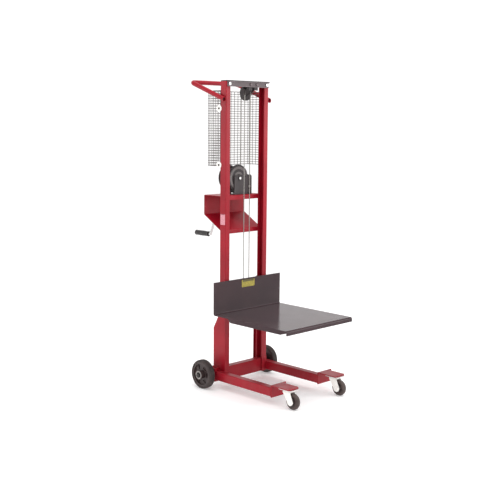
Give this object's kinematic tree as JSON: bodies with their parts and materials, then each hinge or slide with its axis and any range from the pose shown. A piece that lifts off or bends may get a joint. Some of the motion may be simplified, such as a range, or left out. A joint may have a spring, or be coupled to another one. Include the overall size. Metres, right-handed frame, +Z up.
{
  "type": "hand winch platform lift truck",
  "caption": "Two-wheeled lift truck with a channel mast, a hand winch and wire rope, a bent-plate platform, straddling legs with swivel casters, a wire guard and a push handle.",
  "frame": {"origin": "on the floor under the middle of the bounding box", "axes": "+Z up, the load side faces -Y, the operator stands on +Y, +X is the operator's left"},
  "size_m": [0.5938, 0.9804, 1.7332],
  "materials": {
    "red_paint": "gloss enamel, worn",
    "charcoal_paint": "dark gloss enamel",
    "black_paint": "satin black enamel",
    "gray_paint": "satin gray enamel",
    "winch_gray": "dark gray zinc and paint",
    "zinc": "zinc plated",
    "steel": "machined steel",
    "wire": "galvanised wire",
    "rope": "laid wire rope",
    "tyre_rubber": "matte rubber",
    "hub_plastic": "moulded",
    "caster_rubber": "matte rubber",
    "grip_plastic": "moulded",
    "label_yellow": "printed vinyl",
    "label_silver": "printed foil"
  },
  "bodies": {
    "frame": {"upright_left": "red_paint", "upright_right": "red_paint", "lower_posts": "red_paint", "cross_member": "red_paint", "legs": "red_paint", "axle_brackets": "red_paint", "foot_brackets": "red_paint", "caster_plates": "zinc", "rear_axle": "steel", "axle_collars": "zinc", "top_plate": "black_paint", "head_channel": "gray_paint", "sheave_bracket": "zinc", "top_sheave_pin": "zinc", "anchor_lug": "red_paint", "anchor_eye": "rope", "rope_riser": "rope", "rope_live_strand": "rope", "rope_dead_strand": "rope", "push_handle": "red_paint", "guard_screen": "wire", "guard_tabs": "red_paint", "guard_washers": "zinc", "guard_bolts": "zinc", "winch_shelf": "red_paint", "winch_frame": "winch_gray", "drum_shaft": "zinc", "frame_bolts": "zinc", "rating_label": "label_silver"},
    "carriage": {"platform": "charcoal_paint", "carriage_bars": "charcoal_paint", "carriage_crossbar": "charcoal_paint", "roller_pins": "zinc", "carriage_sheave_pin": "zinc", "rope_loop": "rope", "capacity_label": "label_yellow"},
    "rear_wheel_left": {"rear_tyre_left": "tyre_rubber", "rear_hub_left": "hub_plastic"},
    "rear_wheel_right": {"rear_tyre_right": "tyre_rubber", "rear_hub_right": "hub_plastic"},
    "caster_left": {"caster_fork_left": "zinc", "caster_axle_left": "zinc"},
    "caster_right": {"caster_fork_right": "zinc", "caster_axle_right": "zinc"},
    "caster_roller_left": {"caster_wheel_left": "caster_rubber"},
    "caster_roller_right": {"caster_wheel_right": "caster_rubber"},
    "top_pulley": {"top_sheave": "zinc"},
    "carriage_pulley": {"carriage_sheave": "zinc"},
    "roller_upper_left": {"guide_roller_upper_left": "steel"},
    "roller_upper_right": {"guide_roller_upper_right": "steel"},
    "roller_lower_left": {"guide_roller_lower_left": "steel"},
    "roller_lower_right": {"guide_roller_lower_right": "steel"},
    "drum": {"winch_drum": "winch_gray", "drum_gear": "winch_gray", "wound_rope": "rope"},
    "crank": {"pinion_shaft": "steel", "crank_arm": "zinc", "crank_nut": "zinc"},
    "grip": {"crank_grip": "grip_plastic"},
    "ratchet_pawl": {"pawl": "zinc"}
  },
  "joints": [
    {"name": "carriage_lift", "type": "slide", "parent": "frame", "child": "carriage", "axis": [0, 0, 1], "range_m": [-0.29, 0.93], "deforming": ["rope_live_strand", "rope_dead_strand"]},
    {"name": "drum_spin", "type": "hinge", "parent": "frame", "child": "drum", "pos_m": [0.008, 0.21425, 1.184], "axis": [0, 1, 0], "continuous": true},
    {"name": "crank_turn", "type": "hinge", "parent": "frame", "child": "crank", "pos_m": [0.0839, 0.28025, 1.13471], "axis": [0, 1, 0], "continuous": true},
    {"name": "grip_spin", "type": "hinge", "parent": "crank", "child": "grip", "pos_m": [-0.03223, 0.42825, 0.84728], "axis": [0, 1, 0], "continuous": true},
    {"name": "pawl_swing", "type": "hinge", "parent": "frame", "child": "ratchet_pawl", "pos_m": [0.0959, 0.27725, 1.17871], "axis": [0, 1, 0], "range_deg": [0, 25]},
    {"name": "top_sheave_spin", "type": "hinge", "parent": "frame", "child": "top_pulley", "pos_m": [0.043, 0.15125, 1.6636], "axis": [1, 0, 0], "continuous": true},
    {"name": "carriage_sheave_spin", "type": "hinge", "parent": "carriage", "child": "carriage_pulley", "pos_m": [0.021, 0.11325, 0.58], "axis": [0, 1, 0], "continuous": true},
    {"name": "roller_upper_left_spin", "type": "hinge", "parent": "carriage", "child": "roller_upper_left", "pos_m": [0.147, 0.11325, 0.589], "axis": [1, 0, 0], "continuous": true},
    {"name": "roller_upper_right_spin", "type": "hinge", "parent": "carriage", "child": "roller_upper_right", "pos_m": [-0.147, 0.11325, 0.589], "axis": [1, 0, 0], "continuous": true},
    {"name": "roller_lower_left_spin", "type": "hinge", "parent": "carriage", "child": "roller_lower_left", "pos_m": [0.147, 0.11325, 0.478], "axis": [1, 0, 0], "continuous": true},
    {"name": "roller_lower_right_spin", "type": "hinge", "parent": "carriage", "child": "roller_lower_right", "pos_m": [-0.147, 0.11325, 0.478], "axis": [1, 0, 0], "continuous": true},
    {"name": "rear_wheel_left_spin", "type": "hinge", "parent": "frame", "child": "rear_wheel_left", "pos_m": [0.254, 0.17285, 0.0825], "axis": [1, 0, 0], "continuous": true},
    {"name": "rear_wheel_right_spin", "type": "hinge", "parent": "frame", "child": "rear_wheel_right", "pos_m": [-0.254, 0.17285, 0.0825], "axis": [1, 0, 0], "continuous": true},
    {"name": "caster_left_swivel", "type": "hinge", "parent": "frame", "child": "caster_left", "pos_m": [0.206, -0.41275, 0.1], "axis": [0, 0, 1], "continuous": true},
    {"name": "caster_left_roll", "type": "hinge", "parent": "caster_left", "child": "caster_roller_left", "pos_m": [0.206, -0.44575, 0.0445], "axis": [1, 0, 0], "continuous": true},
    {"name": "caster_right_swivel", "type": "hinge", "parent": "frame", "child": "caster_right", "pos_m": [-0.171, -0.41275, 0.1], "axis": [0, 0, 1], "continuous": true},
    {"name": "caster_right_roll", "type": "hinge", "parent": "caster_right", "child": "caster_roller_right", "pos_m": [-0.171, -0.44575, 0.0445], "axis": [1, 0, 0], "continuous": true}
  ],
  "couplings": [
    {"joint": "drum_spin", "follows": "carriage_lift", "rad_per_m": 57.143},
    {"joint": "crank_turn", "follows": "carriage_lift", "rad_per_m": -285.71},
    {"joint": "top_sheave_spin", "follows": "carriage_lift", "rad_per_m": -52.632},
    {"joint": "carriage_sheave_spin", "follows": "carriage_lift", "rad_per_m": -45.455},
    {"joint": "roller_upper_left_spin", "follows": "carriage_lift", "rad_per_m": 54.054},
    {"joint": "roller_upper_right_spin", "follows": "carriage_lift", "rad_per_m": 54.054},
    {"joint": "roller_lower_left_spin", "follows": "carriage_lift", "rad_per_m": -54.054},
    {"joint": "roller_lower_right_spin", "follows": "carriage_lift", "rad_per_m": -54.054}
  ]
}
